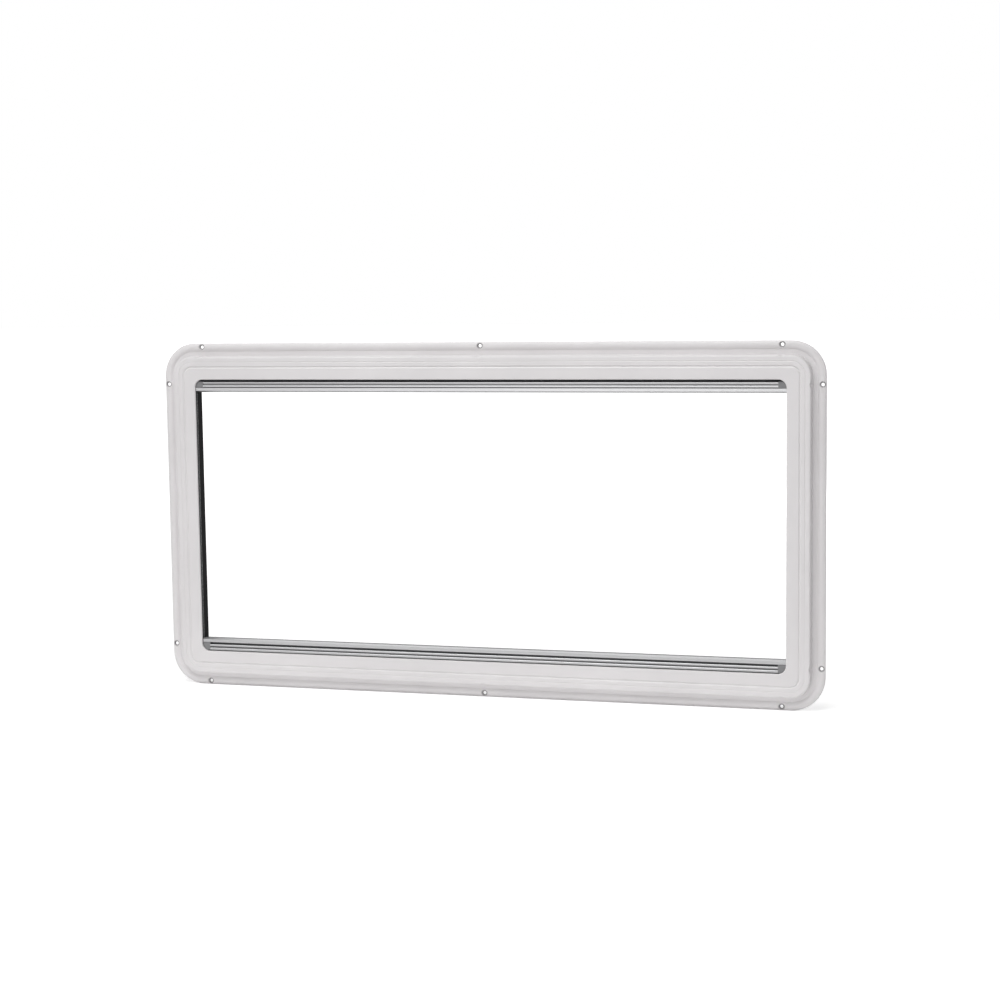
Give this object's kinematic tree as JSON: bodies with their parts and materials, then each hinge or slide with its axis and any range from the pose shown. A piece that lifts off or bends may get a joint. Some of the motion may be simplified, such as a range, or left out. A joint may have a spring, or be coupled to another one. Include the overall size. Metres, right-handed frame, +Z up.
{
  "type": "caravan window inner frame with flyscreen and blackout blind",
  "caption": "Room-side moulded frame of a caravan window with rounded corners, guide rails, and a parked roller flyscreen and blackout blind with aluminium pull bars.",
  "frame": {"origin": "on the back of the flange, where it lies on the wall, at the middle of the lower side and halfway across the flange's groove", "axes": "+X along the window to the right as seen from the room, +Y into the wall, +Z up"},
  "size_m": [0.942, 0.027, 0.492],
  "materials": {
    "frame_plastic": "fine satin moulding texture, pale grey white",
    "rail_plastic": "extruded, black, satin",
    "pile": "short dense black pile",
    "bar_aluminium": "extruded, satin anodised",
    "cap_plastic": "moulded, dark grey, satin",
    "tube_aluminium": "mill finish",
    "bracket_plastic": "moulded, light grey, satin",
    "mesh_cloth": "dark grey insect mesh",
    "blackout_cloth": "light grey coated blackout cloth"
  },
  "bodies": {
    "root": {"moulded_frame": "frame_plastic", "guide_rail_left": "rail_plastic", "guide_rail_right": "rail_plastic", "rail_pile_left": "pile", "rail_pile_right": "pile", "screen_bar": "bar_aluminium", "screen_bar_cap_left": "cap_plastic", "screen_bar_cap_right": "cap_plastic", "blind_bar": "bar_aluminium", "blind_bar_cap_left": "cap_plastic", "blind_bar_cap_right": "cap_plastic", "screen_roller_tube": "tube_aluminium", "screen_roller_plug_left": "bracket_plastic", "screen_roller_plug_right": "bracket_plastic", "screen_bracket_left": "bracket_plastic", "screen_bracket_right": "bracket_plastic", "flyscreen_mesh": "mesh_cloth", "blind_roller_tube": "tube_aluminium", "blind_roller_plug_left": "bracket_plastic", "blind_roller_plug_right": "bracket_plastic", "blind_bracket_left": "bracket_plastic", "blind_bracket_right": "bracket_plastic", "blackout_cloth": "blackout_cloth"}
  },
  "joints": []
}
